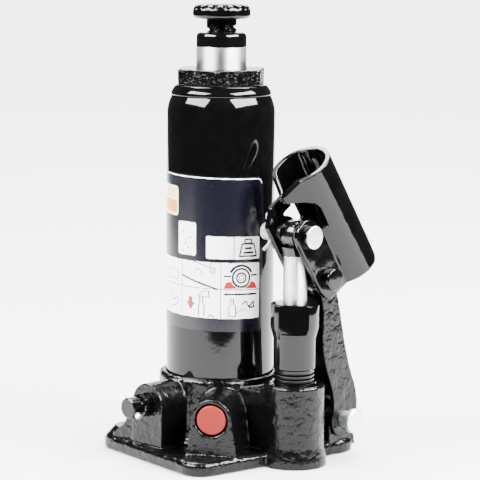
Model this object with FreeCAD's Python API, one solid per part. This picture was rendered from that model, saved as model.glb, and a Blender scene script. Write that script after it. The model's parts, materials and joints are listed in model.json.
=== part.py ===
import FreeCAD, Part
import math
import os

# Hydraulic bottle jack. Millimetres, +Z up.
# Origin: the lifting axis where it meets the ground. +X points from the reservoir to the hand pump,
# -Y to the release valve, +Y to the foot of the pump's link.

os.makedirs("parts", exist_ok=True)

V = FreeCAD.Vector
UP = V(0, 0, 1)
ALONG_X = V(1, 0, 0)
ALONG_Y = V(0, 1, 0)

# ---------------------------------------------------------------- driving dimensions
PLATE_X = (-33.0, 46.8)
PLATE_HALF_Y = 47.6
PLATE_THICK = 6.4
PLATE_TURN = -8.5
HUB_R = 28.4
HUB_TOP = 37.0
WELL_FLOOR = 24.0
SOCKET_FLOOR = 13.2

TUBE_R = 25.0
TUBE_WALL = 2.0
TUBE_SHOULDER = 161.8
NECK_R = 23.1
TUBE_TOP = 170.5
TUBE_MOUTH_R = 16.0

NUT_FLATS = 37.8
NUT_TOP = 177.7
NUT_TURN = 9.2
NUT_SKIRT_R = 14.45
NUT_SKIRT_BOTTOM = 150.2
GUIDE_R = 11.60

BARREL_R = 16.5
BARREL_BORE_R = 13.0
BARREL_TOP = 167.8

RAM_R = 11.55
RAM_TOP = 194.3
PISTON_BOTTOM = 28.0
PISTON_TOP = 43.0
PISTON_R = 12.9
RAM_BORE_R = 6.97
RAM_BORE_BOTTOM = 118.0

SCREW_R = 6.9
SCREW_ROOT_R = 5.7
SCREW_PITCH = 3.0
SCREW_FOOT = 126.0
SADDLE_BOTTOM = 200.4
SADDLE_TOP = 207.0
SADDLE_R = 13.3
SADDLE_TEETH = 15

PUMP_X = 48.0
BOSS_R = 13.9
BOSS_TOP = 37.6
PUMP_BODY_R = 9.75
PUMP_THREAD_R = 9.3
GLAND_R = 11.05
GLAND_FLATS = 17.3
GLAND_TOP = 74.4
GLAND_BOTTOM = 63.5
PLUNGER_R = 5.5
PLUNGER_BORE_R = 5.55
PLUNGER_FOOT = 40.0
EYE_R = 6.6
EYE_HALF_WIDTH = 3.8

PIN_R = 4.0
PIN_HOLE_R = 4.05
OPEN_PIVOT_R = 5.25
PLUNGER_PIN = (0.0, 105.2)
SOCKET_TILT = 33.4
PIN_SPACING = 24.5
FOOT_PIN = (29.0, 16.8)

BORE_R = 11.5
SHEET = 2.5
BORE_OFFSET = 19.5
FLANGE_OUT = 8.5
SOCKET_MOUTH = 25.0
SOCKET_END = -34.7
TAIL_Y = 4.6

LINK_HALF_WIDTH = 5.0
LINK_EYE_R = 6.6
FOOT_EYE_R = 8.4
FORK_HALF_GAP = 2.7
EAR_HALF_WIDTH = 2.4

RELEASE_X = -3.0
RELEASE_Z = 25.8
RELEASE_FACE_Y = -44.0
RELEASE_BOSS_R = 9.7
RELEASE_BORE_R = 5.05

SAFETY_START_X = 8.7
SAFETY_ANGLE = -58.0
SAFETY_REACH = 44.0
SAFETY_Z = 23.0

LABEL_Z = (58.4, 131.0)
LABEL_START = -185.6
LABEL_SPAN = 191.2

FILLER_ANGLE = 150.0
FILLER_Z = 142.0


# ---------------------------------------------------------------- helpers
def cylinder(radius, z0, z1, x=0.0, y=0.0):
    return Part.makeCylinder(radius, z1 - z0, V(x, y, z0), UP)


def rod(radius, start, direction, length):
    return Part.makeCylinder(radius, length, start, direction)


def ring(outer, inner, z0, z1, x=0.0, y=0.0):
    return cylinder(outer, z0, z1, x, y).cut(cylinder(inner, z0 - 1, z1 + 1, x, y))


def box(x0, x1, y0, y1, z0, z1):
    return Part.makeBox(x1 - x0, y1 - y0, z1 - z0, V(x0, y0, z0))


def revolved(profile, x=0.0, y=0.0):
    """Solid of revolution about a vertical axis, from (radius, height) corners."""
    points = [V(r, 0, z) for r, z in profile]
    face = Part.Face(Part.makePolygon(points + points[:1]))
    solid = face.revolve(V(0, 0, 0), UP, 360)
    solid.translate(V(x, y, 0))
    return solid


def rounded_wire(corners, place):
    """Closed outline through (u, v, radius) corners, each rounded by a tangent arc."""
    count = len(corners)
    edges = []
    last = None
    first = None
    for i in range(count):
        u, v, radius = corners[i]
        here = place(u, v)
        before = place(*corners[i - 1][:2])
        after = place(*corners[(i + 1) % count][:2])
        if radius == 0:
            enter, leave = here, here
        else:
            a = (before - here).normalize()
            b = (after - here).normalize()
            half = a.getAngle(b) / 2
            setback = radius / math.tan(half)
            enter = here + a * setback
            leave = here + b * setback
            middle = (a + b).normalize()
            centre = here + middle * (radius / math.sin(half))
            arc = Part.Arc(enter, centre - middle * radius, leave)
        if last is not None and last.distanceToPoint(enter) > 1e-6:
            edges.append(Part.LineSegment(last, enter).toShape())
        if radius:
            edges.append(arc.toShape())
        last = leave
        first = first or enter
    edges.append(Part.LineSegment(last, first).toShape())
    return Part.Wire(edges)


def prism(corners, place, direction):
    return Part.Face(rounded_wire(corners, place)).extrude(direction)


def plan(z):
    return lambda u, v: V(u, v, z)


def side(x):
    return lambda u, v: V(x, u, v)


def front(y):
    return lambda u, v: V(u, y, v)


def fuse_all(shapes):
    return shapes[0].multiFuse(shapes[1:]).removeSplitter()


def cut_all(shape, tools):
    for tool in tools:
        shape = shape.cut(tool)
    return shape


def edges_at(shape, z, tolerance=0.01):
    return [e for e in shape.Edges if all(abs(p.Point.z - z) < tolerance for p in e.Vertexes)]


def save(name, shape):
    if not shape.isValid():
        print("invalid shape:", name)
    shape.exportStep("parts/" + name + ".step")
    print("%-24s %2d solid(s) %10.1f mm3" % (name, len(shape.Solids), shape.Volume))


# ---------------------------------------------------------------- base casting
def base_plate():
    x0, x1 = PLATE_X
    corners = [(x0, -PLATE_HALF_Y, 10), (x1, -PLATE_HALF_Y, 10), (x1, PLATE_HALF_Y, 10), (x0, PLATE_HALF_Y, 10)]
    plate = prism(corners, plan(0), V(0, 0, PLATE_THICK))
    plate = plate.makeFillet(2.4, edges_at(plate, PLATE_THICK))
    plate = plate.makeChamfer(0.9, edges_at(plate, 0))
    lobe = Part.makeCone(12.0, 7.5, 5.0, V(x0 + 11.5, -PLATE_HALF_Y + 12.0, 5.6), UP)
    plate = plate.fuse(lobe)
    plate.rotate(V(0, 0, 0), UP, PLATE_TURN)
    return plate


def hub():
    profile = [(0, 0), (31.5, 0), (31.5, 5.5), (29.6, 9.5), (HUB_R + 0.4, 15.0), (HUB_R, HUB_TOP - 2.0),
               (HUB_R - 0.6, HUB_TOP - 0.6), (HUB_R - 2.0, HUB_TOP), (0, HUB_TOP)]
    return revolved(profile)


def pump_boss():
    profile = [(0, 0), (BOSS_R + 1.2, 0), (BOSS_R + 1.2, 3.0), (BOSS_R, 9.0), (BOSS_R, BOSS_TOP - 1.0),
               (BOSS_R - 1.0, BOSS_TOP), (0, BOSS_TOP)]
    web = prism([(20, -12.5, 0), (PUMP_X, -12.5, 0), (PUMP_X, 12.5, 0), (20, 12.5, 0)], plan(0), V(0, 0, 33.5))
    return revolved(profile, PUMP_X).fuse(web)


def release_boss():
    r = RELEASE_BOSS_R
    x, z = RELEASE_X, RELEASE_Z
    length = 26.0
    round_part = rod(r, V(x, RELEASE_FACE_Y, z), ALONG_Y, length)
    stem = box(x - r, x + r, RELEASE_FACE_Y, RELEASE_FACE_Y + length, 3, z)
    flank = prism([(x - r + 1, z + 1.5, 0), (-20.5, 13.0, 0), (-27.0, 9.0, 0), (-27.0, 3.0, 0), (x, 3.0, 0)],
                  front(RELEASE_FACE_Y + 1.0), V(0, 20, 0))
    return fuse_all([round_part, stem, flank])


def arch_wire(radius, foot_half, distance):
    """Arched face of the safety-valve boss, its sides spreading towards the foot."""
    foot_z = 3.0
    top = V(distance, 0, SAFETY_Z + radius)
    left = V(distance, -radius, SAFETY_Z)
    right = V(distance, radius, SAFETY_Z)
    arc = Part.Arc(left, top, right).toShape()
    foot_left = V(distance, -foot_half, foot_z)
    foot_right = V(distance, foot_half, foot_z)
    sides = [Part.LineSegment(right, foot_right), Part.LineSegment(foot_right, foot_left),
             Part.LineSegment(foot_left, left)]
    return Part.Wire([arc] + [s.toShape() for s in sides])


def on_safety_axis(shape):
    """Move a shape built along +X from the origin onto the safety valve's line."""
    shape.rotate(V(0, 0, 0), UP, SAFETY_ANGLE)
    shape.translate(V(SAFETY_START_X, 0, 0))
    return shape


def safety_boss():
    face = arch_wire(9.3, 12.2, SAFETY_REACH)
    root = arch_wire(11.0, 14.0, 16.0)
    return on_safety_axis(Part.makeLoft([root, face], True, True))


def foot_ear():
    y, z = FOOT_PIN
    x0 = PUMP_X - EAR_HALF_WIDTH
    width = V(2 * EAR_HALF_WIDTH, 0, 0)
    eye = rod(7.6, V(x0, y, z), ALONG_X, 2 * EAR_HALF_WIDTH)
    root = prism([(y - 7.5, 3, 0), (y + 11, 3, 0), (y + 7.0, z + 2, 0), (y - 7.2, z + 2, 0)], side(x0), width)
    return eye.fuse(root)


def base_casting():
    body = fuse_all([base_plate(), hub(), pump_boss(), release_boss(), safety_boss(), foot_ear()])
    tools = [
        cylinder(TUBE_R + 0.06, WELL_FLOOR, HUB_TOP + 1),
        cylinder(BARREL_R + 0.06, SOCKET_FLOOR, WELL_FLOOR + 1),
        cylinder(2.2, 4.6, SOCKET_FLOOR + 1),
        cylinder(4.2, 8.6, SOCKET_FLOOR + 1),
        cylinder(PUMP_THREAD_R + 0.06, 22.0, BOSS_TOP + 1, PUMP_X),
        cylinder(4.2, 12.6, 22.5, PUMP_X),
        cylinder(2.2, 8.6, 13.0, PUMP_X),
        rod(RELEASE_BORE_R, V(RELEASE_X, RELEASE_FACE_Y - 1, RELEASE_Z), ALONG_Y, 15.4),
        rod(2.2, V(RELEASE_X, RELEASE_FACE_Y, RELEASE_Z), ALONG_Y, 16.6),
        on_safety_axis(rod(7.5, V(SAFETY_REACH - 3.2, 0, SAFETY_Z), ALONG_X, 5)),
        on_safety_axis(rod(5.1, V(SAFETY_REACH - 17.0, 0, SAFETY_Z), ALONG_X, 16)),
        on_safety_axis(rod(1.6, V(SAFETY_REACH - 20.0, 0, SAFETY_Z), ALONG_X, 4)),
        rod(PIN_HOLE_R, V(PUMP_X - 5, *FOOT_PIN), ALONG_X, 10),
    ]
    return cut_all(body, tools)


# ---------------------------------------------------------------- reservoir and cylinder
def reservoir_tube():
    r, neck, top, wall = TUBE_R, NECK_R, TUBE_TOP, TUBE_WALL
    outer = [(r, WELL_FLOOR + 1.0), (r, TUBE_SHOULDER), (r - 0.25, TUBE_SHOULDER + 1.6),
             (r - 0.9, TUBE_SHOULDER + 2.9), (neck + 0.35, top - 5.2), (neck, top - 4.6), (neck, top - 2.0),
             (neck - 0.6, top - 0.6), (neck - 2.0, top), (TUBE_MOUTH_R, top)]
    inner = [(TUBE_MOUTH_R, top - 2.5), (neck - 3.2, top - 2.5), (neck - wall, top - 4.4),
             (r - wall - 0.9, TUBE_SHOULDER + 1.2), (r - wall, TUBE_SHOULDER - 1.5), (r - wall, WELL_FLOOR + 1.0)]
    tube = revolved(outer + inner)
    filler = rod(4.0, V(15, 0, FILLER_Z), ALONG_X, 15)
    filler.rotate(V(0, 0, 0), UP, FILLER_ANGLE)
    return tube.cut(filler)


def filler_plug():
    shank = rod(3.95, V(21.6, 0, FILLER_Z), ALONG_X, 3.6)
    lip = Part.makeCone(3.95, 4.6, 1.2, V(20.6, 0, FILLER_Z), ALONG_X)
    head = rod(5.6, V(25.1, 0, FILLER_Z), ALONG_X, 1.9)
    head = head.makeFillet(0.8, [e for e in head.Edges if e.CenterOfMass.x > 26.5 and len(e.Vertexes) == 1])
    plug = fuse_all([shank, lip, head])
    plug.rotate(V(0, 0, 0), UP, FILLER_ANGLE)
    return plug


def top_nut():
    across_corners = NUT_FLATS / 2 / math.cos(math.radians(30))
    hexagon = [(across_corners * math.cos(math.radians(60 * k + NUT_TURN)),
                across_corners * math.sin(math.radians(60 * k + NUT_TURN)), 1.2) for k in range(6)]
    head = prism(hexagon, plan(TUBE_TOP), V(0, 0, NUT_TOP - TUBE_TOP))
    chamfer = revolved([(0, TUBE_TOP), (22.5, TUBE_TOP), (22.5, NUT_TOP - 1.0), (20.4, NUT_TOP), (0, NUT_TOP)])
    head = head.common(chamfer)
    skirt = cylinder(NUT_SKIRT_R, NUT_SKIRT_BOTTOM, TUBE_TOP + 0.5)
    tools = [cylinder(GUIDE_R, NUT_SKIRT_BOTTOM - 1, NUT_TOP + 1), cylinder(13.4, 173.0, 175.6)]
    return cut_all(head.fuse(skirt), tools)


def cylinder_barrel():
    tube = ring(BARREL_R, BARREL_BORE_R, SOCKET_FLOOR + 1.0, BARREL_TOP)
    return tube.cut(cylinder(NUT_SKIRT_R + 0.05, NUT_SKIRT_BOTTOM - 0.2, BARREL_TOP + 1))


# ---------------------------------------------------------------- ram, screw and saddle
def ram():
    bar = cylinder(RAM_R, PISTON_TOP, RAM_TOP)
    bar = bar.makeFillet(1.8, edges_at(bar, RAM_TOP))
    stud = cylinder(7.0, PISTON_BOTTOM + 0.6, PISTON_TOP + 0.5)
    mouth = Part.makeCone(RAM_BORE_R, RAM_BORE_R + 0.8, 0.8, V(0, 0, RAM_TOP - 0.8), UP)
    return cut_all(bar.fuse(stud), [cylinder(RAM_BORE_R, RAM_BORE_BOTTOM, RAM_TOP + 1), mouth])


def piston_head():
    body = ring(PISTON_R, 7.0, PISTON_BOTTOM, PISTON_TOP)
    return body.cut(ring(PISTON_R + 1, 10.6, PISTON_BOTTOM + 4.0, PISTON_BOTTOM + 9.2))


def thread_grooves(radius, root, pitch, z0, z1, x=0.0):
    """Ring grooves that stand for a coarse screw thread."""
    grooves = []
    z = z0
    while z + pitch < z1:
        grooves.append(revolved([(root, z + 0.36 * pitch), (radius + 1, z + 0.1 * pitch),
                                 (radius + 1, z + 0.9 * pitch), (root, z + 0.64 * pitch)], x))
        z += pitch
    return grooves


def extension_screw():
    shank = cylinder(SCREW_R, SCREW_FOOT + 5.0, SADDLE_BOTTOM + 0.01)
    shank = cut_all(shank, thread_grooves(SCREW_R, SCREW_ROOT_R, SCREW_PITCH, SCREW_FOOT + 5.0, SADDLE_BOTTOM - 2.4))
    journal = cylinder(4.0, SCREW_FOOT + 1.5, SCREW_FOOT + 5.5)
    foot = cylinder(5.2, SCREW_FOOT, SCREW_FOOT + 2.0)
    spigot = cylinder(4.5, SADDLE_BOTTOM - 0.5, SADDLE_TOP - 2.0)
    return fuse_all([shank, journal, foot, spigot])


def saddle():
    r, low, high = SADDLE_R, SADDLE_BOTTOM, SADDLE_TOP
    profile = [(0, low), (r - 1.8, low), (r - 0.5, low + 0.6), (r, low + 1.9), (r, high - 2.0),
               (r - 0.4, high - 0.8), (r - 1.3, high), (5.2, high), (4.0, high - 1.2), (0, high - 1.2)]
    body = revolved(profile).cut(cylinder(4.52, low - 1, high - 1.95))
    notches = []
    for k in range(SADDLE_TEETH):
        groove = rod(1.1, V(6.0, 0, high + 0.2), ALONG_X, 10)
        groove.rotate(V(0, 0, 0), UP, k * 360 / SADDLE_TEETH)
        notches.append(groove)
    return body.cut(notches[0].multiFuse(notches[1:]))


# ---------------------------------------------------------------- hand pump
def pump_cylinder():
    flare = 5.2
    profile = [(0, 24.0), (PUMP_THREAD_R, 24.0), (PUMP_THREAD_R, 44.2), (PUMP_BODY_R, 44.8),
               (PUMP_BODY_R, GLAND_BOTTOM - flare), (GLAND_R, GLAND_BOTTOM), (GLAND_R, GLAND_TOP - 0.7),
               (GLAND_R - 0.9, GLAND_TOP), (0, GLAND_TOP)]
    body = revolved(profile, PUMP_X)
    body = cut_all(body, thread_grooves(PUMP_THREAD_R, PUMP_THREAD_R - 0.9, 1.9, 24.6, 44.6, PUMP_X))
    flats = []
    for sign in (-1, 1):
        flat = box(GLAND_FLATS / 2, 20, -20, 20, GLAND_BOTTOM - 2.5, GLAND_TOP + 1)
        flat.rotate(V(0, 0, 0), UP, -50.3 + 90 * (1 - sign))
        flat.translate(V(PUMP_X, 0, 0))
        flats.append(flat)
    bores = [cylinder(PLUNGER_BORE_R, 23, GLAND_TOP + 1, PUMP_X), cylinder(7.2, 67.0, 70.0, PUMP_X)]
    return cut_all(body, flats + bores)


def plunger():
    y, z = PLUNGER_PIN
    shank = cylinder(PLUNGER_R, PLUNGER_FOOT, z - 6, PUMP_X)
    eye = rod(EYE_R, V(PUMP_X - EYE_HALF_WIDTH, y, z), ALONG_X, 2 * EYE_HALF_WIDTH)
    neck = Part.makeCone(PLUNGER_R, PLUNGER_R + 1.2, 4.6, V(PUMP_X, 0, z - 9.8), UP)
    slab = box(PUMP_X - EYE_HALF_WIDTH, PUMP_X + EYE_HALF_WIDTH, -20, 20, 0, 200)
    neck = neck.common(slab.fuse(cylinder(PLUNGER_R, 0, 200, PUMP_X)))
    groove = ring(PLUNGER_R + 1, 3.9, PLUNGER_FOOT + 2, PLUNGER_FOOT + 5.4, PUMP_X)
    hole = rod(OPEN_PIVOT_R, V(PUMP_X - 10, y, z), ALONG_X, 20)
    return cut_all(fuse_all([shank, eye, neck]), [groove, hole])


# ---------------------------------------------------------------- handle socket and linkage
def tilt(shape):
    """From the socket's own axes (pivot line in z, bore offset in y) to the jack's."""
    shape.rotate(V(0, 0, 0), ALONG_X, SOCKET_TILT)
    shape.translate(V(PUMP_X, *PLUNGER_PIN))
    return shape


def drop_wire(radius, tail_radius, tail_y, z):
    """Outline of a round bore drawn out into a tail: two circles and their common tangents."""
    span = BORE_OFFSET - tail_y
    angle = math.acos((radius - tail_radius) / span)

    def point(centre_y, r, a):
        return V(r * math.sin(a), centre_y - r * math.cos(a), z)

    big = Part.Arc(point(BORE_OFFSET, radius, angle), V(0, BORE_OFFSET + radius, z),
                   point(BORE_OFFSET, radius, -angle))
    small = Part.Arc(point(tail_y, tail_radius, -angle), V(0, tail_y - tail_radius, z),
                     point(tail_y, tail_radius, angle))
    down = Part.LineSegment(point(BORE_OFFSET, radius, -angle), point(tail_y, tail_radius, -angle))
    up = Part.LineSegment(point(tail_y, tail_radius, angle), point(BORE_OFFSET, radius, angle))
    return Part.Wire([big.toShape(), down.toShape(), small.toShape(), up.toShape()])


def socket_mouth():
    """Closed end of the socket: the sheet wraps the handle and its two lips meet."""
    z0, height = 9.0, V(0, 0, SOCKET_MOUTH - 9.0)
    outer = Part.Face(drop_wire(BORE_R + SHEET, SHEET + 0.45, TAIL_Y, z0)).extrude(height)
    inner = Part.Face(drop_wire(BORE_R, 0.45, TAIL_Y, z0)).extrude(height)
    seam = box(-0.45, 0.45, -5, 8, z0 - 1, SOCKET_MOUTH + 1)
    dip = prism([(-20, 30, 0), (9, 30, 0), (9, SOCKET_MOUTH, 0), (1.5, 19.5, 0), (-20, 19.5, 0)],
                side(-20), V(40, 0, 0))
    tail = prism([(-20, 16.8, 0), (0.8, 16.8, 0), (6.0, 14.2, 0), (9.8, 11.4, 0), (10.8, 8.0, 0), (-20, 8.0, 0)],
                 side(-20), V(40, 0, 0))
    return cut_all(outer, [inner, seam, dip, tail])


def socket_cheeks():
    """Open end: the bore with its lower wall cut out and two flat cheeks."""
    z0, z1 = SOCKET_END, 10.0
    wall = ring(BORE_R + SHEET, BORE_R, z0, z1, 0, BORE_OFFSET)
    inside = FLANGE_OUT - SHEET
    wall = wall.cut(box(-inside, inside, 0, BORE_OFFSET, z0 - 1, z1 + 1))
    near = box(inside, FLANGE_OUT, -7.8, 9.4, z0, z1)
    far = box(-FLANGE_OUT, -inside, -8.2, 9.4, z0, 15.8)
    far = far.cut(prism([(-20, 9.0, 0), (-8.3, 9.0, 0), (-5.0, 12.0, 0), (-1.5, 15.9, 0), (-20, 15.9, 0)],
                        side(-20), V(20, 0, 0)))
    body = fuse_all([wall, near, far])
    outline = prism([(-30, 40, 0), (-30, -33.4, 0), (-7.9, -33.4, 0), (33.6, -34.7, 9), (33.6, 40, 0)],
                    side(-20), V(40, 0, 0))
    corner = prism([(-8.3, -20, 0), (-8.3, -34, 0), (-4.0, -34, 0), (-6.2, -30.8, 0), (-7.7, -26.0, 0), (-7.7, -20, 0)],
                   side(-20), V(40, 0, 0))
    ear = rod(7.8, V(-20, 0, 0), ALONG_X, 40)
    near_relief = box(0, 20, -20, 10.8, -2.0, 10.1).cut(ear).cut(box(0, 20, -7.8, 7.8, -5, 0))
    far_window = box(-20, 0, 3.8, 17.4, -5.0, 8.5).cut(rod(8.1, V(-20, 0, 0), ALONG_X, 40))
    return cut_all(body.common(outline), [corner, near_relief, far_window])


def handle_socket():
    body = socket_mouth().fuse(socket_cheeks())
    body = body.cut(cylinder(BORE_R, SOCKET_END - 1, SOCKET_MOUTH + 1, 0, BORE_OFFSET))
    for z in (0, -PIN_SPACING):
        body = body.cut(rod(PIN_HOLE_R, V(-20, 0, z), ALONG_X, 40))
    return tilt(body)


def link_top():
    angle = math.radians(SOCKET_TILT)
    y, z = PLUNGER_PIN
    return y + PIN_SPACING * math.sin(angle), z - PIN_SPACING * math.cos(angle)


def spline(points, x):
    curve = Part.BSplineCurve()
    curve.interpolate([V(x, y, z) for y, z in points])
    return curve.toShape()


def link_arm():
    x0 = PUMP_X - LINK_HALF_WIDTH
    top_y, top_z = link_top()
    foot_y, foot_z = FOOT_PIN
    near_edge = [(top_y - 5.6, top_z - 3.0), (13.4, 72.0), (13.6, 58.0), (16.4, 42.0), (21.6, 27.0),
                 (foot_y - 8.3, foot_z)]
    far_edge = [(foot_y + 8.3, foot_z), (37.2, 28.0), (32.8, 40.0), (28.2, 55.0), (24.8, 70.0),
                (top_y + 6.4, top_z)]
    chain = [spline(near_edge, x0),
             Part.LineSegment(V(x0, *near_edge[-1]), V(x0, *far_edge[0])).toShape(),
             spline(far_edge, x0),
             Part.LineSegment(V(x0, *far_edge[-1]), V(x0, *near_edge[0])).toShape()]
    width = 2 * LINK_HALF_WIDTH
    bar = Part.Face(Part.Wire(chain)).extrude(V(width, 0, 0))
    top_eye = rod(LINK_EYE_R, V(x0, top_y, top_z), ALONG_X, width)
    foot_eye = rod(FOOT_EYE_R, V(x0, foot_y, foot_z), ALONG_X, width)
    gap = box(PUMP_X - FORK_HALF_GAP, PUMP_X + FORK_HALF_GAP, foot_y - 30, foot_y + 30, 0, foot_z + 11.5)
    holes = [rod(PIN_HOLE_R, V(x0 - 5, y, z), ALONG_X, width + 10) for y, z in (link_top(), FOOT_PIN)]
    return cut_all(fuse_all([bar, top_eye, foot_eye]), [gap] + holes)


def headed_pin(place, head_x, far_x, head_r, head_thick, cotter_x):
    """Pin with a round head on the outside and a cross hole for its split pin."""
    y, z = place
    head = rod(head_r, V(head_x, y, z), ALONG_X, head_thick)
    rim = [e for e in head.Edges if abs(e.CenterOfMass.x - head_x - head_thick) < 0.01 and len(e.Vertexes) == 1]
    head = head.makeFillet(0.9, rim)
    shank = rod(PIN_R, V(far_x, y, z), ALONG_X, head_x - far_x + 0.5)
    shank = shank.cut(cylinder(1.05, z - 10, z + 10, cotter_x, y))
    return head.fuse(shank)


def split_pin(place, x):
    """Split pin: an eye above the pin, two legs through it, their ends bent apart."""
    y, z = place
    eye = Part.makeTorus(1.9, 0.85, V(x, y, z + PIN_R + 2.9), ALONG_X)
    shank = cylinder(0.98, z - PIN_R - 1.8, z + PIN_R + 1.5, x, y)
    pieces = [eye, shank]
    start = V(x, y, z - PIN_R - 1.1)
    for direction, length in ((V(0, -0.82, -0.57), 5.0), (V(0, 0.75, -0.66), 4.0)):
        pieces.append(rod(0.72, start, direction, length))
    return fuse_all(pieces)


# ---------------------------------------------------------------- valves, seals and springs
def release_spindle():
    x, z, face = RELEASE_X, RELEASE_Z, RELEASE_FACE_Y
    profile = [(0, 9.2), (1.6, 9.2), (4.95, 6.0), (4.95, -1.6), (3.9, -1.6), (3.9, -3.0), (5.3, -3.4), (5.3, -5.2),
               (3.9, -5.8), (3.9, -6.6), (4.75, -7.2), (4.75, -11.6), (4.2, -12.1), (0, -12.1)]
    body = revolved(profile)
    body = body.cut(ring(6.0, 3.6, 0.4, 3.0))
    body = body.cut(rod(1.32, V(-10, 0, -9.6), ALONG_X, 20))
    body.rotate(V(0, 0, 0), ALONG_X, -90)
    body.rotate(V(0, 0, 0), ALONG_Y, 35)
    body.translate(V(x, face, z))
    return body


def release_cross_pin():
    pin = rod(1.3, V(-6.6, 0, -9.6), ALONG_X, 13.2)
    pin.rotate(V(0, 0, 0), ALONG_X, -90)
    pin.rotate(V(0, 0, 0), ALONG_Y, 35)
    pin.translate(V(RELEASE_X, RELEASE_FACE_Y, RELEASE_Z))
    return pin


def release_seal():
    seal = ring(4.98, 3.65, 0.6, 2.8)
    seal.rotate(V(0, 0, 0), ALONG_X, -90)
    seal.translate(V(RELEASE_X, RELEASE_FACE_Y, RELEASE_Z))
    return seal


def release_ball():
    return Part.makeSphere(3.0, V(RELEASE_X, RELEASE_FACE_Y + 12.3, RELEASE_Z))


def coil_spring(radius, wire, height, turns):
    """Compression spring about +Z from the origin."""
    helix = Part.makeHelix(height / turns, height, radius)
    start = Part.Wire(Part.Circle(V(radius, 0, 0), ALONG_Y, wire).toShape())
    return Part.Wire(helix).makePipeShell([start], True, True)


def safety_ball():
    return on_safety_axis(Part.makeSphere(2.4, V(SAFETY_REACH - 15.2, 0, SAFETY_Z)))


def safety_spring():
    spring = coil_spring(2.9, 0.6, 4.6, 3)
    spring.rotate(V(0, 0, 0), ALONG_Y, 90)
    spring.translate(V(SAFETY_REACH - 12.0, 0, SAFETY_Z))
    return on_safety_axis(spring)


def safety_screw():
    start = SAFETY_REACH - 6.6
    body = rod(5.0, V(start, 0, SAFETY_Z), ALONG_X, 3.2)
    slot = box(start + 2.0, start + 4, -6, 6, SAFETY_Z - 0.7, SAFETY_Z + 0.7)
    return on_safety_axis(body.cut(slot))


def safety_cap():
    cap = rod(6.7, V(SAFETY_REACH - 2.9, 0, SAFETY_Z), ALONG_X, 2.9)
    rim = [e for e in cap.Edges if abs(e.CenterOfMass.x - SAFETY_REACH) < 0.01 and len(e.Vertexes) == 1]
    cap = cap.makeFillet(0.7, rim)
    return on_safety_axis(cap)


def label():
    face = Part.makePolygon([V(TUBE_R + 0.02, 0, LABEL_Z[0]), V(TUBE_R + 0.17, 0, LABEL_Z[0]),
                             V(TUBE_R + 0.17, 0, LABEL_Z[1]), V(TUBE_R + 0.02, 0, LABEL_Z[1]),
                             V(TUBE_R + 0.02, 0, LABEL_Z[0])])
    film = Part.Face(face).revolve(V(0, 0, 0), UP, LABEL_SPAN)
    film.rotate(V(0, 0, 0), UP, LABEL_START)
    return film


# ---------------------------------------------------------------- export
def main():
    top = link_top()
    save("base_casting", base_casting())
    save("reservoir_tube", reservoir_tube())
    save("label", label())
    save("filler_plug", filler_plug())
    save("tank_gasket", ring(TUBE_R, TUBE_R - 2.1, WELL_FLOOR, WELL_FLOOR + 1.0))
    save("top_nut", top_nut())
    save("head_gasket", ring(15.9, NUT_SKIRT_R + 0.05, TUBE_TOP - 2.5, TUBE_TOP - 0.05))
    save("ram_wiper", ring(13.35, RAM_R + 0.03, 173.1, 175.5))
    save("cylinder_barrel", cylinder_barrel())
    save("barrel_gasket", ring(16.4, 13.2, SOCKET_FLOOR, SOCKET_FLOOR + 1.0))
    save("outlet_ball", Part.makeSphere(2.9, V(0, 0, 10.5)))

    save("ram", ram())
    save("piston_head", piston_head())
    save("piston_cup", ring(12.97, 10.65, PISTON_BOTTOM + 4.1, PISTON_BOTTOM + 9.1))
    save("screw_stop_ring", ring(6.8, 4.15, SCREW_FOOT + 2.4, SCREW_FOOT + 4.7))
    save("extension_screw", extension_screw())
    save("saddle", saddle())

    save("pump_cylinder", pump_cylinder())
    save("pump_gasket", ring(PUMP_THREAD_R, 6.0, 22.05, 23.95, PUMP_X))
    save("gland_seal", ring(7.15, PLUNGER_R + 0.03, 67.1, 69.9, PUMP_X))
    save("inlet_ball", Part.makeSphere(2.9, V(PUMP_X, 0, 14.5)))
    save("plunger", plunger())
    save("plunger_cup", ring(5.53, 3.95, PLUNGER_FOOT + 2.1, PLUNGER_FOOT + 5.3, PUMP_X))

    save("handle_socket", handle_socket())
    save("plunger_pin", headed_pin(PLUNGER_PIN, PUMP_X + FLANGE_OUT + 0.1, 29.5, 5.35, 3.4, 32.0))
    save("link_pin", headed_pin(top, PUMP_X + FLANGE_OUT + 0.1, 34.5, 5.2, 4.0, 37.0))
    save("socket_split_pins", split_pin(PLUNGER_PIN, 32.0).fuse(split_pin(top, 37.0)))
    save("link_arm", link_arm())
    save("foot_pin", headed_pin(FOOT_PIN, PUMP_X + 9.8, 37.5, 5.6, 2.6, 39.8))
    save("foot_split_pin", split_pin(FOOT_PIN, 39.8))

    save("release_spindle", release_spindle())
    save("release_cross_pin", release_cross_pin())
    save("release_seal", release_seal())
    save("release_ball", release_ball())
    save("safety_ball", safety_ball())
    save("safety_spring", safety_spring())
    save("safety_screw", safety_screw())
    save("safety_cap", safety_cap())


main()
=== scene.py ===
import json
import math

import bmesh
import bpy
import numpy as np
from mathutils import Matrix, Vector, noise


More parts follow.
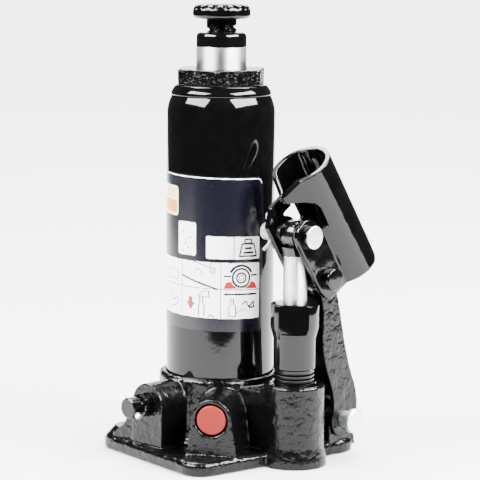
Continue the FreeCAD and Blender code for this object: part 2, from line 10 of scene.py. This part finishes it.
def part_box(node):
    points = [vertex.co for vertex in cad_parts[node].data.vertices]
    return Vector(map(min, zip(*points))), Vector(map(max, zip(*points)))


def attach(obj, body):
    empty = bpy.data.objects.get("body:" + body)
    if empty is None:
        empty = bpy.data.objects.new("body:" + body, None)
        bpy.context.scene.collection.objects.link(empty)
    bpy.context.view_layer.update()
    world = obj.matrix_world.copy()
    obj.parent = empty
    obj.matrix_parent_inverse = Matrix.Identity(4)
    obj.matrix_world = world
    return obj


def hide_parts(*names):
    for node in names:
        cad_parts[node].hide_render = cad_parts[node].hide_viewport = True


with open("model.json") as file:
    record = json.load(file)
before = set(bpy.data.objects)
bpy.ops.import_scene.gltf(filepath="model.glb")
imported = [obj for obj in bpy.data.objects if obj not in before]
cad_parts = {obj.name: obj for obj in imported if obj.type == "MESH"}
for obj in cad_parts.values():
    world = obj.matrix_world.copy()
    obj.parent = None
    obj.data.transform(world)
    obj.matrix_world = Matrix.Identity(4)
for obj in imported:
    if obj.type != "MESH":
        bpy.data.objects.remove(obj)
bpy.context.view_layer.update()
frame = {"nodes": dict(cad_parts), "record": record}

MM = 0.001
NODES = frame["nodes"]
BODY = {n: b for b, names in frame["record"]["behaviour"]["bodies"].items() for n in names}
SLOT = {s["node"]: s["material_slot"] for s in frame["record"]["subparts"]}


# ---------------------------------------------------------------- materials
class Nodes:
    """A small helper round one material's node tree."""

    def __init__(self, name):
        self.mat = bpy.data.materials.new(name)
        self.mat.use_nodes = True
        self.tree = self.mat.node_tree
        self.shader = self.tree.nodes["Principled BSDF"]
        self.coord = self.tree.nodes.new("ShaderNodeTexCoord").outputs["Object"]

    def add(self, kind, values=None, links=None, **attributes):
        node = self.tree.nodes.new("ShaderNode" + kind)
        for key, value in attributes.items():
            setattr(node, key, value)
        for key, value in (values or {}).items():
            node.inputs[key].default_value = value
        for key, source in (links or {}).items():
            self.tree.links.new(source, node.inputs[key])
        return node

    def scaled(self, scale):
        return self.add("Mapping", {"Scale": scale}, {"Vector": self.coord}).outputs[0]

    def noise(self, scale, detail=3.0, rough=0.55, stretch=(1, 1, 1)):
        links = {"Vector": self.scaled(stretch)}
        values = {"Scale": scale, "Detail": detail, "Roughness": rough}
        return self.add("TexNoise", values, links).outputs["Fac"]

    def cells(self, scale):
        return self.add("TexVoronoi", {"Scale": scale}, {"Vector": self.coord}).outputs["Distance"]

    def ramp(self, source, low, high, start, end):
        values = {"From Min": low, "From Max": high, "To Min": start, "To Max": end}
        return self.add("MapRange", values, {"Value": source}).outputs[0]

    def mix(self, factor, a, b):
        node = self.add("Mix", data_type="RGBA")
        self.tree.links.new(factor, node.inputs["Factor"])
        for key, value in (("A", a), ("B", b)):
            socket = [s for s in node.inputs if s.name == key and s.type == "RGBA"][0]
            if isinstance(value, bpy.types.NodeSocket):
                self.tree.links.new(value, socket)
            else:
                socket.default_value = (*value, 1)
        return [s for s in node.outputs if s.type == "RGBA"][0]

    def bump(self, layers):
        normal = None
        for height, distance in layers:
            links = {"Height": height}
            if normal is not None:
                links["Normal"] = normal
            normal = self.add("Bump", {"Strength": 1.0, "Distance": distance}, links).outputs["Normal"]
        self.tree.links.new(normal, self.shader.inputs["Normal"])

    def brushed(self, amount):
        """Reflections drawn out along the height, as on ground round bar."""
        tangent = self.add("Tangent", direction_type="RADIAL", axis="Z").outputs[0]
        self.tree.links.new(tangent, self.shader.inputs["Tangent"])
        self.shader.inputs["Anisotropic"].default_value = amount
        self.shader.inputs["Anisotropic Rotation"].default_value = 0.25

    def set(self, **values):
        for key, value in values.items():
            socket = self.shader.inputs[key.replace("_", " ")]
            if isinstance(value, bpy.types.NodeSocket):
                self.tree.links.new(value, socket)
            else:
                socket.default_value = value
        return self.mat


def cast_enamel():
    n = Nodes("cast_enamel")
    grain = n.noise(620, 4, 0.62)
    lumps = n.noise(230, 2, 0.5)
    color = n.mix(n.ramp(grain, 0.3, 0.7, 0, 1), (0.0006, 0.0006, 0.0007), (0.0016, 0.0016, 0.0018))
    n.bump([(lumps, 0.0006), (grain, 0.00020)])
    n.shader.inputs["Specular IOR Level"].default_value = 0.2
    return n.set(Base_Color=color, Roughness=n.ramp(grain, 0.3, 0.75, 0.05, 0.13))


def smooth_enamel():
    n = Nodes("black_enamel")
    peel = n.noise(160, 2, 0.5)
    dust = n.noise(1400, 3, 0.6)
    color = n.mix(n.ramp(peel, 0.3, 0.7, 0, 1), (0.0006, 0.0006, 0.0007), (0.0011, 0.0011, 0.0012))
    n.bump([(peel, 0.00005)])
    n.shader.inputs["Specular IOR Level"].default_value = 0.28
    return n.set(Base_Color=color, Roughness=n.ramp(dust, 0.35, 0.8, 0.045, 0.12))


def turned_steel(name, tone, rough, stretch=(30, 30, 1600)):
    n = Nodes(name)
    rings = n.noise(1, 3, 0.6, stretch)
    stain = n.noise(180, 4, 0.6)
    low = tuple(0.82 * c for c in tone)
    color = n.mix(n.ramp(stain, 0.3, 0.7, 0, 1), low, tone)
    n.bump([(rings, 0.00006)])
    roughness = n.ramp(rings, 0.3, 0.7, rough * 0.75, rough * 1.35)
    return n.set(Base_Color=color, Metallic=1.0, Roughness=roughness)


def painted_ram():
    """Ground steel with the top end dipped in black enamel."""
    n = Nodes("ram_steel")
    rings = n.noise(1, 3, 0.6, (30, 30, 1700))
    stain = n.noise(200, 4, 0.6)
    steel = n.mix(n.ramp(stain, 0.3, 0.7, 0, 1), (0.50, 0.50, 0.50), (0.66, 0.655, 0.65))
    height = n.add("SeparateXYZ", links={"Vector": n.coord}).outputs["Z"]
    wobble = n.add("Math", {1: 0.0012}, {0: n.noise(220, 2)}, operation="MULTIPLY").outputs[0]
    edge = n.add("Math", links={0: height, 1: wobble}, operation="ADD").outputs[0]
    paint = n.ramp(edge, PAINT_LINE + 0.0005, PAINT_LINE + 0.0007, 0, 1)
    bare = n.add("Math", {0: 1.0}, {1: paint}, operation="SUBTRACT").outputs[0]
    n.bump([(rings, 0.00004)])
    n.brushed(0.85)
    rough = n.ramp(paint, 0, 1, 0.42, 0.08)
    return n.set(Base_Color=n.mix(paint, steel, (0.0008, 0.0008, 0.0009)), Metallic=bare, Roughness=rough)


def painted_plunger():
    """Ground steel shank below a black enamelled eye."""
    n = Nodes("plunger_steel")
    rings = n.noise(1, 3, 0.6, (40, 40, 1900))
    stain = n.noise(240, 4, 0.6)
    steel = n.mix(n.ramp(stain, 0.3, 0.7, 0, 1), (0.54, 0.53, 0.52), (0.70, 0.69, 0.67))
    height = n.add("SeparateXYZ", links={"Vector": n.coord}).outputs["Z"]
    wobble = n.add("Math", {1: 0.002}, {0: n.noise(260, 2)}, operation="MULTIPLY").outputs[0]
    edge = n.add("Math", links={0: height, 1: wobble}, operation="ADD").outputs[0]
    paint = n.ramp(edge, 0.0966, 0.0969, 0, 1)
    bare = n.add("Math", {0: 1.0}, {1: paint}, operation="SUBTRACT").outputs[0]
    n.bump([(rings, 0.00004)])
    n.brushed(0.85)
    rough = n.ramp(paint, 0, 1, 0.40, 0.12)
    return n.set(Base_Color=n.mix(paint, steel, (0.0008, 0.0008, 0.0009)), Metallic=bare, Roughness=rough)


def zinc(name, tone, rough=0.3):
    n = Nodes(name)
    spangle = n.cells(900)
    grain = n.noise(1500, 4, 0.6)
    color = n.mix(n.ramp(spangle, 0.0, 0.7, 0, 1), tuple(0.86 * c for c in tone), tone)
    n.bump([(grain, 0.00008)])
    roughness = n.ramp(grain, 0.3, 0.7, rough * 0.8, rough * 1.3)
    return n.set(Base_Color=color, Metallic=0.9, Roughness=roughness)


def plain(name, low, high, rough, scale=800, depth=0.00008, metallic=0.0):
    n = Nodes(name)
    grain = n.noise(scale, 4, 0.6)
    n.bump([(grain, depth)])
    color = n.mix(n.ramp(grain, 0.3, 0.7, 0, 1), low, high)
    roughness = n.ramp(grain, 0.3, 0.7, rough * 0.85, rough * 1.15)
    return n.set(Base_Color=color, Metallic=metallic, Roughness=roughness)


PAINT_LINE = 0.1877
FLOOR_TONE = (0.46, 0.46, 0.46)
FLOOR_FRONT = 0.3
FLOOR_BACK = 2.0
FLOOR_HALF_WIDTH = 0.6
BEND = 1.2
BACKDROP_TOP = 4.0
WORLD_STRENGTH = 0.10
ENAMEL = smooth_enamel()
CAST = cast_enamel()
STEEL = turned_steel("turned_steel", (0.62, 0.62, 0.62), 0.26)
ZINC = zinc("zinc_plate", (0.86, 0.90, 0.92))
RUBBER = plain("black_rubber", (0.012, 0.012, 0.012), (0.03, 0.03, 0.03), 0.6)
COPPER = plain("copper_washer", (0.50, 0.24, 0.13), (0.66, 0.36, 0.22), 0.35, 900, 0.00005, 1.0)
SPRING = plain("spring_steel", (0.30, 0.30, 0.31), (0.42, 0.42, 0.43), 0.35, 900, 0.00005, 1.0)
RED = plain("red_plastic", (0.115, 0.0030, 0.0014), (0.145, 0.0040, 0.002), 0.5, 500, 0.00010)
RED.node_tree.nodes["Principled BSDF"].inputs["Specular IOR Level"].default_value = 0.25
BY_SLOT = {"cast_enamel": CAST, "black_enamel": ENAMEL, "steel": STEEL, "zinc": ZINC, "rubber": RUBBER,
           "copper_seal": COPPER, "spring_steel": SPRING, "red_plastic": RED}
INKS = [plain("label_" + name, low, high, 0.24, 1200, 0.00002) for name, low, high in (
    ("navy", (0.0009, 0.0008, 0.0032), (0.0014, 0.0012, 0.0046)),
    ("white", (0.78, 0.78, 0.78), (0.84, 0.84, 0.85)),
    ("ink", (0.006, 0.006, 0.007), (0.010, 0.010, 0.011)),
    ("grey", (0.030, 0.030, 0.032), (0.045, 0.045, 0.048)),
    ("red", (0.24, 0.006, 0.006), (0.29, 0.010, 0.009)),
    ("orange", (0.46, 0.17, 0.02), (0.52, 0.21, 0.03)),
    ("cream", (0.66, 0.58, 0.36), (0.72, 0.65, 0.44)))]


# ---------------------------------------------------------------- making pieces
def as_piece(mesh, name, node, materials, angle=None):
    obj = bpy.data.objects.new(name, mesh)
    bpy.context.scene.collection.objects.link(obj)
    mesh.materials.clear()
    for material in materials:
        mesh.materials.append(material)
    mesh.shade_smooth()
    if angle:
        mesh.set_sharp_from_angle(angle=math.radians(angle))
    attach(obj, BODY[node])
    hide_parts(node)
    return obj


def node_mesh(node):
    mesh = NODES[node].data.copy()
    bm = bmesh.new()
    bm.from_mesh(mesh)
    bmesh.ops.remove_doubles(bm, verts=bm.verts, dist=2e-6)
    bm.to_mesh(mesh)
    bm.free()
    mesh.name = node + "_mesh"
    if "custom_normal" in mesh.attributes:
        mesh.attributes.remove(mesh.attributes["custom_normal"])
    return mesh


def with_modifiers(mesh, modifiers):
    """The mesh after a stack of (type, settings) modifiers."""
    obj = bpy.data.objects.new("temporary", mesh)
    bpy.context.scene.collection.objects.link(obj)
    for kind, settings in modifiers:
        modifier = obj.modifiers.new(kind, kind)
        for key, value in settings.items():
            setattr(modifier, key, value)
    graph = bpy.context.evaluated_depsgraph_get()
    result = bpy.data.meshes.new_from_object(obj.evaluated_get(graph))
    bpy.data.objects.remove(obj)
    return result


def crisp(node, material, bevel=0.0002, angle=35):
    """The CAD shape with its edges broken by a fine bevel."""
    mesh = node_mesh(node)
    bm = bmesh.new()
    bm.from_mesh(mesh)
    bmesh.ops.dissolve_limit(bm, angle_limit=math.radians(0.6), verts=bm.verts, edges=bm.edges)
    bm.to_mesh(mesh)
    bm.free()
    settings = {"width": bevel, "segments": 2, "limit_method": "ANGLE", "angle_limit": math.radians(angle),
                "use_clamp_overlap": True, "harden_normals": False}
    mesh = with_modifiers(mesh, [("BEVEL", settings)])
    return as_piece(mesh, node + "_finished", node, [material], angle)


def cast(node, material, voxel, passes, coarse, fine, pitch=620):
    """A casting: the CAD shape with rounded edges and an uneven skin, kept inside the CAD box."""
    step = voxel * 1.0
    mesh = with_modifiers(node_mesh(node), [
        ("REMESH", {"mode": "VOXEL", "voxel_size": step}),
        ("SMOOTH", {"factor": 0.5, "iterations": passes})])
    count = len(mesh.vertices)
    place = np.empty(count * 3)
    mesh.vertices.foreach_get("co", place)
    place = place.reshape(-1, 3)
    normal = np.empty(count * 3)
    mesh.vertices.foreach_get("normal", normal)
    normal = normal.reshape(-1, 3)
    shift = np.empty(count)
    for i, (x, y, z) in enumerate(place):
        wide = noise.noise(Vector((x, y, z)) * 190 + Vector((3.1, 7.7, 1.3)))
        close = noise.noise(Vector((x, y, z)) * pitch + Vector((9.2, 2.4, 5.8)))
        shift[i] = coarse * wide + fine * close
    low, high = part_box(node)
    place = np.clip(place + normal * shift[:, None], np.array(low), np.array(high))
    mesh.vertices.foreach_set("co", place.ravel())
    mesh.update()
    return as_piece(mesh, node + "_finished", node, [material])


def lathe_mesh(name, profile, sides=256, closed=False):
    """Surface of revolution about +Z from (radius, height) points in millimetres."""
    rings = len(profile)
    verts = []
    for r, z in profile:
        for k in range(sides):
            a = 2 * math.pi * k / sides
            verts.append((r * MM * math.cos(a), r * MM * math.sin(a), z * MM))
    faces = []
    for i in range(rings if closed else rings - 1):
        j = (i + 1) % rings
        for k in range(sides):
            m = (k + 1) % sides
            faces.append((i * sides + k, i * sides + m, j * sides + m, j * sides + k))
    mesh = bpy.data.meshes.new(name)
    mesh.from_pydata(verts, [], faces)
    return mesh


def rounded(points, radius_of):
    """Profile corners replaced by small arcs; radius_of gives each corner's radius."""
    out = []
    count = len(points)
    for i, (r, z) in enumerate(points):
        radius = radius_of[i]
        here = Vector((r, z))
        if not radius:
            out.append((r, z))
            continue
        a = (Vector(points[i - 1]) - here).normalized()
        b = (Vector(points[(i + 1) % count]) - here).normalized()
        for k in range(7):
            t = k / 6
            p = here + a * radius * (1 - t) ** 2 + b * radius * t ** 2
            out.append((p.x, p.y))
    return out


# ---------------------------------------------------------------- reservoir, ram and screw
def reservoir():
    low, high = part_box("reservoir_tube")
    r, bottom, top = high.x / MM, low.z / MM, high.z / MM
    neck = r - 1.9
    outer = [(r - 2, bottom), (r, bottom), (r, top - 9.5), (neck - 0.3, top - 5.0), (neck, top - 4.2),
             (neck, top - 3.2), (neck - 2.3, top), (16.0, top)]
    inner = [(16.0, top - 2.5), (neck - 2, top - 4.4), (r - 2, top - 11), (r - 2, bottom)]
    profile = rounded(outer, [0, 0, 4.2, 0.5, 0.3, 1.2, 1.2, 0]) + inner
    mesh = lathe_mesh("reservoir_shell", profile)
    return as_piece(mesh, "reservoir_shell", "reservoir_tube", [ENAMEL], 60)


def ram_bar():
    low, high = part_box("ram")
    r, bottom, top = high.x / MM, low.z / MM, high.z / MM
    bore = 6.97
    profile = [(0, bottom), (7, bottom), (7, 43), (r, 43), (r, top), (bore, top), (bore, 118), (0, 118)]
    return as_piece(lathe_mesh("ram_bar", rounded(profile, [0, 0, 0, 0, 2.4, 0.6, 0, 0]), 192),
                    "ram_bar", "ram", [painted_ram()], 50)


def screw_thread():
    """Real helical thread on the extension screw, with its plain foot below."""
    low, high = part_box("extension_screw")
    r, bottom, top = high.x / MM, low.z / MM, high.z / MM
    pitch, root = 3.0, 5.75
    start, end = bottom + 5.2, top - 4.4
    sides, step = 96, 0.25
    count = int((end - start) / step)
    verts = []
    for i in range(count + 1):
        z = start + (end - start) * i / count
        for k in range(sides):
            a = 2 * math.pi * k / sides
            phase = (z / pitch - k / sides) % 1.0
            flank = min(1.0, max(0.0, (abs(phase - 0.5) * 2 - 0.25) / 0.35))
            fade = max(0.0, min(1.0, (z - start) / 1.5, (end - 2.9 - z) / 0.8))
            radius = r - (r - root) * (1 - flank) * fade
            verts.append((radius * MM * math.cos(a), radius * MM * math.sin(a), z * MM))
    faces = []
    for i in range(count):
        here, above = i * sides, (i + 1) * sides
        for k in range(sides):
            m = (k + 1) % sides
            faces.append((here + k, here + m, above + m, above + k))
    shank = bpy.data.meshes.new("screw_shank")
    shank.from_pydata(verts, [], faces)
    tail = [(0, bottom), (5.2, bottom), (5.2, bottom + 2), (4, bottom + 2), (4, start), (root, start)]
    foot = lathe_mesh("screw_foot", tail)
    head = [(r, end), (r, end + 0.3), (4.5, end + 0.3), (4.5, top - 0.1), (0, top - 0.1)]
    spigot = lathe_mesh("screw_spigot", head)
    bm = bmesh.new()
    for mesh in (shank, foot, spigot):
        bm.from_mesh(mesh)
    joined = bpy.data.meshes.new("screw_body")
    bm.to_mesh(joined)
    bm.free()
    return as_piece(joined, "screw_body", "extension_screw", [ENAMEL], 40)


def saddle_head():
    """Cast saddle: swollen rim, shallow radial ribs on top that scallop its upper edge."""
    low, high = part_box("saddle")
    r, bottom, top = high.x / MM, low.z / MM, high.z / MM
    teeth, sides = 15, 360
    profile = rounded([(0, bottom), (r, bottom), (r, top), (5.0, top), (4.0, top - 1.3), (0, top - 1.3)],
                      [0, 2.4, 3.6, 0.6, 0.3, 0])
    fine = []
    for i, (a, b) in enumerate(profile[:-1]):
        c, d = profile[i + 1]
        pieces = max(1, int(math.hypot(c - a, d - b) / 0.35))
        fine += [(a + (c - a) * t / pieces, b + (d - b) * t / pieces) for t in range(pieces)]
    fine.append(profile[-1])
    mesh = lathe_mesh("saddle_head", fine, sides)
    for v in mesh.vertices:
        x, y, z = v.co / MM
        radius = math.hypot(x, y)
        if radius > 5.4 and z > top - 2.3:
            wave = 0.5 - 0.5 * math.cos(math.atan2(y, x) * teeth)
            reach = min(1.0, (radius - 5.4) / 1.5) * min(1.0, (z - top + 2.3) / 1.7)
            z -= 1.7 * wave ** 2 * reach
            v.co = Vector((x, y, z)) * MM
        rough = noise.noise(v.co * 700) * 0.00003
        v.co.z = min(high.z, max(low.z, v.co.z + rough))
    return as_piece(mesh, "saddle_head", "saddle", [ENAMEL])


# ---------------------------------------------------------------- label
def near_line(s, t, points, width):
    """Cells within half a width of a polyline."""
    hit = np.zeros(s.shape, bool)
    for (a, b), (c, d) in zip(points, points[1:]):
        length = (c - a) ** 2 + (d - b) ** 2
        k = np.clip(((s - a) * (c - a) + (t - b) * (d - b)) / length, 0, 1)
        hit |= np.hypot(s - a - k * (c - a), t - b - k * (d - b)) < width / 2
    return hit


def inside(s, t, s0, s1, t0, t1, radius=0.0):
    """Cells inside a rectangle with rounded corners."""
    ds = np.abs(s - (s0 + s1) / 2) - (s1 - s0) / 2 + radius
    dt = np.abs(t - (t0 + t1) / 2) - (t1 - t0) / 2 + radius
    return np.hypot(np.maximum(ds, 0), np.maximum(dt, 0)) <= radius + 1e-9


def outline(s, t, s0, s1, t0, t1, radius, width):
    hole = inside(s, t, s0 + width, s1 - width, t0 + width, t1 - width, max(0, radius - width))
    return inside(s, t, s0, s1, t0, t1, radius) & ~hole


def polygon(s, t, corners):
    hit = np.zeros(s.shape, bool)
    for (a, b), (c, d) in zip(corners, corners[1:] + corners[:1]):
        crosses = (b > t) != (d > t)
        if b != d:
            hit ^= crosses & (s < (c - a) * (t - b) / (d - b) + a)
    return hit


def arc_band(s, t, centre, inner, outer, start=0, end=360):
    radius = np.hypot(s - centre[0], t - centre[1])
    angle = np.degrees(np.arctan2(t - centre[1], s - centre[0])) % 360
    return (radius >= inner) & (radius <= outer) & (angle >= start) & (angle <= end)


def artwork(s, t):
    """Ink number of each label cell: s is the distance round the tube, t the height, in millimetres."""
    navy, white, ink, grey, red, orange, cream = range(7)
    art = np.full(s.shape, navy)
    art[outline(s, t, -60.5, 21.3, 40.0, 129.6, 3.0, 0.5) & (t > 127.2)] = white
    art[inside(s, t, -37.5, -22.0, 110.6, 124.2, 1.6)] = cream
    art[inside(s, t, -36.0, -23.0, 112.0, 117.6, 0.6)] = orange
    art[arc_band(s, t, (-25.6, 120.6), 1.2, 1.8) | arc_band(s, t, (-30.2, 120.6), 1.2, 1.8)] = orange
    art[inside(s, t, -21.4, -11.6, 93.4, 108.6, 0.8)] = white
    specks = ((-18.2, 104.2), (-14.6, 101.6), (-17.0, 98.6), (-15.6, 96.8), (-18.4, 95.2), (-16.2, 100.2))
    for a, b in specks:
        art[inside(s, t, a - 0.45, a + 0.45, b - 0.45, b + 0.45, 0.3)] = grey
    art[inside(s, t, -6.5, 19.6, 92.6, 102.9, 0.8)] = white
    art[near_line(s, t, [(6.3, 92.6), (6.3, 102.9)], 0.45)] = ink
    art[near_line(s, t, [(8.9, 94.0), (10.2, 99.6), (16.4, 99.6), (17.8, 94.0), (8.9, 94.0)], 0.75)] = ink
    art[outline(s, t, 11.2, 15.4, 99.6, 102.0, 0.6, 0.7)] = ink
    art[near_line(s, t, [(11.2, 95.6), (15.6, 95.6)], 1.0)] = ink
    art[near_line(s, t, [(11.9, 97.6), (14.9, 97.6)], 1.0)] = ink

    panel = inside(s, t, -37.0, 19.7, 65.1, 90.9, 0.8)
    art[panel] = white
    lines = near_line(s, t, [(-19.1, 65), (-19.1, 91)], 0.35)
    lines |= near_line(s, t, [(0.3, 65), (0.3, 91)], 0.45)
    art[panel & (lines | near_line(s, t, [(-37, 79.0), (19.7, 78.4)], 0.35))] = grey
    hub = (9.9, 84.0)
    art[arc_band(s, t, hub, 5.1, 6.3, 25, 155)] = ink
    art[arc_band(s, t, hub, 3.7, 4.7) | arc_band(s, t, hub, 1.8, 2.7) | arc_band(s, t, hub, 0.9, 1.3)] = ink
    art[near_line(s, t, [(2.0, 84.8), (4.6, 84.8)], 0.9)] = ink
    art[near_line(s, t, [(15.2, 85.2), (17.9, 85.2)], 0.9)] = ink
    outside = np.hypot(s - hub[0], t - hub[1]) > 4.9
    chocks = polygon(s, t, [(1.5, 79.0), (2.6, 81.8), (4.8, 82.4), (6.2, 80.6), (8.8, 79.0)])
    chocks |= polygon(s, t, [(11.0, 79.0), (13.6, 80.6), (15.0, 82.4), (17.0, 81.8), (18.3, 79.0)])
    art[chocks & outside] = red
    art[near_line(s, t, [(-19.0, 83.8), (-1.4, 78.7)], 0.9)] = ink
    art[near_line(s, t, [(-12.6, 90.9), (-4.8, 88.6), (-4.0, 90.9)], 0.45)] = grey
    art[near_line(s, t, [(-12.5, 85.4), (-11.2, 87.6), (-9.4, 87.2), (-8.2, 84.4)], 0.42)] = grey
    ring = arc_band(s, t, (-3.4, 87.2), 1.1, 1.55)
    art[ring] = red
    art[near_line(s, t, [(-4.4, 88.2), (-2.4, 86.2)], 0.3)] = red
    art[near_line(s, t, [(-4.4, 86.2), (-2.4, 88.2)], 0.3)] = red
    bottle = [(4.9, 74.3), (4.9, 71.8), (3.9, 70.9), (3.9, 66.3), (7.2, 66.3), (7.2, 70.9), (6.2, 71.8),
              (6.2, 74.3)]
    art[near_line(s, t, bottle + bottle[:1], 0.42)] = grey
    art[near_line(s, t, [(7.2, 67.6), (10.6, 69.6), (12.4, 69.4)], 0.42)] = grey
    nozzle = [(10.4, 71.8), (12.2, 73.2), (13.8, 70.6), (16.2, 73.0), (16.6, 70.4), (14.0, 70.2)]
    art[near_line(s, t, nozzle, 0.7)] = ink
    art[near_line(s, t, [(2.2, 76.4), (17.8, 76.4)], 0.9)] = ink
    arrow = [(-15.2, 74.4), (-13.0, 74.4), (-13.0, 71.9), (-11.8, 71.9), (-14.1, 68.2), (-16.4, 71.9),
             (-15.2, 71.9)]
    art[polygon(s, t, arrow)] = red
    handle = [(-7.6, 77.6), (-5.2, 77.6), (-5.2, 74.9), (-10.6, 74.9), (-7.6, 77.6)]
    art[near_line(s, t, handle, 0.42)] = grey
    art[near_line(s, t, [(-10.0, 66.0), (-10.0, 71.2), (-9.4, 72.0), (-9.4, 74.6)], 0.42)] = grey
    art[near_line(s, t, [(-7.4, 66.0), (-7.4, 71.2), (-8.0, 72.0), (-8.0, 74.6)], 0.42)] = grey
    art[arc_band(s, t, (-4.2, 65.4), 0.9, 1.5, 0, 180)] = red
    art[near_line(s, t, [(-32.0, 86.0), (-32.0, 81.4), (-29.8, 80.4)], 0.4)] = red
    art[outline(s, t, -29.6, -21.6, 81.2, 85.8, 0.8, 0.35)] = grey
    art[near_line(s, t, [(-30.6, 69.0), (-28.4, 74.8), (-26.4, 76.0)], 0.5)] = ink
    art[near_line(s, t, [(-26.8, 68.2), (-22.4, 69.6), (-21.0, 73.0)], 0.45)] = grey
    art[arc_band(s, t, (-24.6, 73.6), 1.6, 2.2, 200, 360)] = ink
    return art


def label_skin():
    low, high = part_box("label")
    radius = 25.15 * MM
    cell = 0.2
    tilt = 0.03
    start, end = -61.3, 22.1
    columns = int((end - start) / cell)
    rows = int((high.z - low.z) / MM / cell)
    edges_s = np.linspace(start, end, columns + 1)
    edges_z = np.linspace(low.z / MM, high.z / MM, rows + 1)
    angle = edges_s / 25.0 - math.pi / 4
    grid_a, grid_z = np.meshgrid(angle, edges_z)
    verts = np.stack([radius * np.cos(grid_a), radius * np.sin(grid_a), grid_z * MM], -1).reshape(-1, 3)
    mid_s, mid_z = np.meshgrid((edges_s[1:] + edges_s[:-1]) / 2, (edges_z[1:] + edges_z[:-1]) / 2)
    art = artwork(mid_s, mid_z + tilt * mid_s)
    on_film = inside(mid_s, mid_z + tilt * mid_s, -61.2, 22.0, 59.0, 130.3, 3.2)
    corner = (np.arange(rows)[:, None] * (columns + 1) + np.arange(columns)[None, :])
    quads = np.stack([corner, corner + 1, corner + columns + 2, corner + columns + 1], -1)[on_film]
    mesh = bpy.data.meshes.new("label_skin")
    mesh.from_pydata(verts.tolist(), [], quads.tolist())
    piece = as_piece(mesh, "label_skin", "label", INKS)
    mesh.polygons.foreach_set("material_index", art[on_film].ravel().astype(np.int32))
    bm = bmesh.new()
    bm.from_mesh(mesh)
    bmesh.ops.delete(bm, geom=[v for v in bm.verts if not v.link_faces], context="VERTS")
    bm.to_mesh(mesh)
    bm.free()
    return piece


# ---------------------------------------------------------------- the jack
def build():
    reservoir()
    label_skin()
    ram_bar()
    screw_thread()
    saddle_head()
    cast("base_casting", CAST, 0.0005, 3, 0.00012, 0.00008)
    cast("top_nut", CAST, 0.00025, 2, 0.00006, 0.00022, 900)
    cast("link_arm", CAST, 0.0004, 3, 0.00012, 0.00009)
    cast("handle_socket", ENAMEL, 0.00036, 4, 0.00004, 0.0)
    crisp("pump_cylinder", ENAMEL, 0.0002, 28)
    crisp("plunger", painted_plunger(), 0.0005)
    bright = zinc("pin_head", (0.90, 0.94, 0.95), 0.34)
    head = crisp("plunger_pin", bright)
    # The zinc pin head's side gets black enamel while its end face and shank stay zinc: painted shade that
    # stands in for the dark reflection round the head's side.
    head.data.materials.append(ENAMEL)
    head_start = 0.055
    for face in head.data.polygons:
        face.material_index = 0 if face.normal.x > 0.5 or face.center.x < head_start else 1
    crisp("link_pin", ENAMEL)
    crisp("foot_pin", bright)
    crisp("safety_cap", RED)
    BY_NODE["release_cross_pin"] = bright
    for node, material in BY_NODE.items():
        NODES[node].data.materials.clear()
        NODES[node].data.materials.append(material)


BY_NODE = {n: BY_SLOT[s] for n, s in SLOT.items() if s in BY_SLOT}


# ---------------------------------------------------------------- floor, light, camera
def studio():
    """Plain pale floor that bends up into a backdrop behind the jack and ends in front of it."""
    n = Nodes("floor_paint")
    grain = n.ramp(n.noise(60, 3, 0.6), 0.3, 0.7, 0, 1)
    color = n.mix(grain, FLOOR_TONE, tuple(1.02 * c for c in FLOOR_TONE))
    material = n.set(Base_Color=color, Roughness=0.9)
    profile = [(-FLOOR_FRONT, 0.0), (FLOOR_BACK, 0.0)]
    for k in range(1, 17):
        a = math.pi / 2 * k / 16
        profile.append((FLOOR_BACK + BEND * math.sin(a), BEND - BEND * math.cos(a)))
    profile.append((FLOOR_BACK + BEND, BACKDROP_TOP))
    verts = [(x, y, z) for y, z in profile for x in (-FLOOR_HALF_WIDTH, FLOOR_HALF_WIDTH)]
    faces = [(2 * i, 2 * i + 1, 2 * i + 3, 2 * i + 2) for i in range(len(profile) - 1)]
    mesh = bpy.data.meshes.new("floor")
    mesh.from_pydata(verts, [], faces)
    mesh.materials.append(material)
    mesh.shade_smooth()
    floor = bpy.data.objects.new("floor", mesh)
    floor.rotation_euler.z = math.radians(45)
    bpy.context.scene.collection.objects.link(floor)

    world = bpy.data.worlds.new("studio")
    world.use_nodes = True
    world.node_tree.nodes["Background"].inputs["Color"].default_value = (1, 1, 1, 1)
    world.node_tree.nodes["Background"].inputs["Strength"].default_value = WORLD_STRENGTH
    bpy.context.scene.world = world


def softbox(name, azimuth, distance, height, size, radiance, aim=(0, 0, 0.1)):
    """A soft light of size (width, height); azimuth is counted from the camera's side, to the right."""
    data = bpy.data.lights.new(name, "AREA")
    data.shape = "RECTANGLE"
    data.size, data.size_y = size
    data.energy = radiance * math.pi * size[0] * size[1]
    obj = bpy.data.objects.new(name, data)
    bpy.context.scene.collection.objects.link(obj)
    a = math.radians(45 + azimuth)
    obj.location = (distance * math.sin(a), -distance * math.cos(a), height)
    direction = Vector(aim) - obj.location
    obj.rotation_euler = direction.to_track_quat("-Z", "Y").to_euler()
    return obj


def camera():
    data = bpy.data.cameras.new("camera")
    data.lens, data.sensor_width = 162.75, 36.0
    data.shift_x, data.shift_y = 0.0410, 0.01875
    data.clip_start = 0.05
    obj = bpy.data.objects.new("camera", data)
    bpy.context.scene.collection.objects.link(obj)
    a = math.radians(45)
    place = Vector((math.sin(a), -math.cos(a), 0.243))
    pitch = math.radians(8.5)
    look = Vector((-math.sin(a) * math.cos(pitch), math.cos(a) * math.cos(pitch), -math.sin(pitch)))
    turn = look.to_track_quat("-Z", "Y").to_matrix().to_4x4()
    obj.matrix_world = Matrix.Translation(place) @ turn @ Matrix.Rotation(math.radians(0.33), 4, "Z")
    bpy.context.scene.camera = obj


build()
studio()
softbox("left_box", -63, 0.95, 0.90, (1.05, 0.52), 76)
softbox("right_box", 62, 0.95, 0.90, (1.20, 0.56), 90)
softbox("back_box", 180, 1.6, 2.6, (3.0, 2.4), 36, (-1.2, 1.2, 0))
camera()
